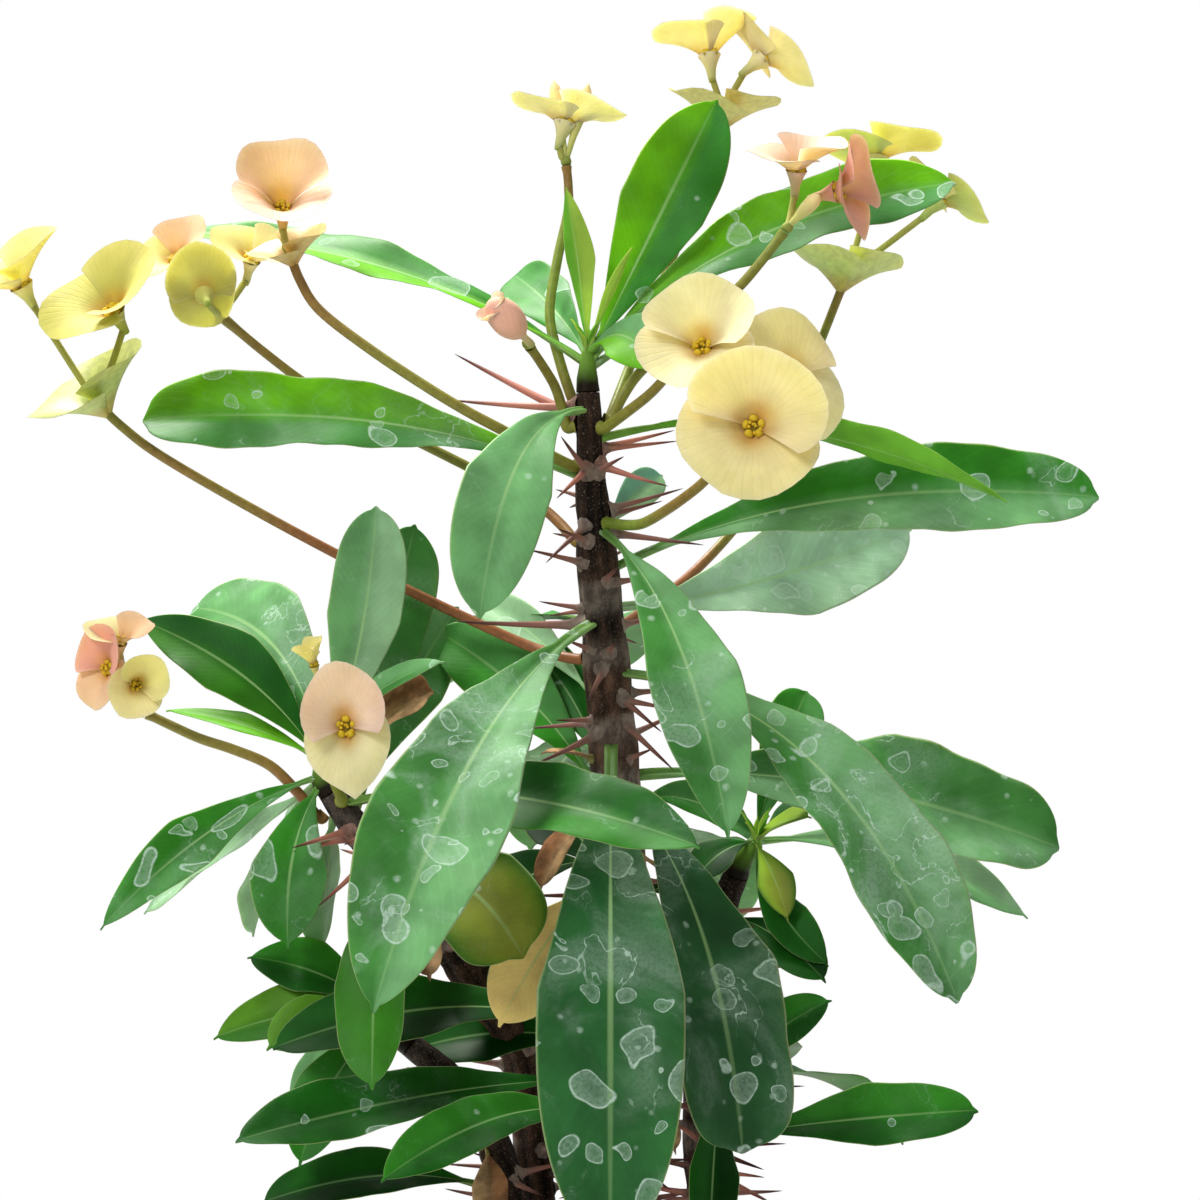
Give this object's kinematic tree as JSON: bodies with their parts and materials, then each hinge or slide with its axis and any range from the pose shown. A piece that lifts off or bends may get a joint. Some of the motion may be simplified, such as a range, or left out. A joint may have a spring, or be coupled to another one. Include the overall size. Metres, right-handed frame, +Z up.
{
  "type": "potted crown of thorns plant",
  "caption": "Thorny woody stems with oblong green leaves and flower heads of paired yellow and pink bracts on long stalks, in a plain round clay pot.",
  "frame": {"origin": "centre of the pot's underside", "axes": "+Z up along the pot's axis, -Y to the front of the plant as pictured, +X to its right"},
  "size_m": [0.3794, 0.2289, 0.5603],
  "materials": {
    "bark": "rough dark brown bark with grey spine shields",
    "leaf": "waxy green leaf with a pale midrib",
    "leaf_yellow": "old yellow leaf",
    "stalk": "smooth green stalk, brown in places",
    "bract_yellow": "thin cream yellow bract",
    "bract_pink": "thin peach pink bract",
    "clay": "unglazed fired clay",
    "earth": "dark crumbly potting soil"
  },
  "bodies": {
    "root": {"head_arched_left": "bract_pink", "head_back_left": "bract_yellow", "head_bud_left": "bract_pink", "head_far_left": "bract_yellow", "head_far_right": "bract_yellow", "head_front_high": "bract_yellow", "head_front_low": "bract_yellow", "head_high_right": "bract_yellow", "head_low_front": "bract_pink", "head_low_left": "bract_pink", "head_pink_right": "bract_pink", "head_top": "bract_yellow", "leaf_back_left": "leaf", "leaf_back_low": "leaf", "leaf_back_middle": "leaf", "leaf_back_right": "leaf", "leaf_front_dark": "leaf", "leaf_front_large": "leaf", "leaf_front_left": "leaf", "leaf_front_middle": "leaf", "leaf_front_right": "leaf", "leaf_hanging": "leaf", "leaf_left_long": "leaf", "leaf_low_dark": "leaf", "leaf_low_front": "leaf", "leaf_low_left": "leaf", "leaf_low_middle": "leaf", "leaf_low_right": "leaf", "leaf_low_tip": "leaf", "leaf_right_back": "leaf", "leaf_right_bright": "leaf", "leaf_right_front": "leaf", "leaf_right_long": "leaf", "leaf_right_wide": "leaf", "leaf_round": "leaf", "leaf_yellow": "leaf_yellow", "left_shoot": "leaf", "left_stem": "bark", "low_left_shoot": "leaf", "low_left_stem": "bark", "low_right_shoot": "leaf", "low_right_stem": "bark", "main_shoot": "leaf", "main_stem": "bark", "pot": "clay", "right_shoot": "leaf", "right_stem": "bark", "soil": "earth", "stalk_arched_left": "stalk", "stalk_back_left": "stalk", "stalk_bud_left": "stalk", "stalk_far_left": "stalk", "stalk_far_right": "stalk", "stalk_front_high": "stalk", "stalk_front_low": "stalk", "stalk_high_right": "stalk", "stalk_low_front": "stalk", "stalk_low_left": "stalk", "stalk_pink_right": "stalk", "stalk_top": "stalk"}
  },
  "joints": []
}
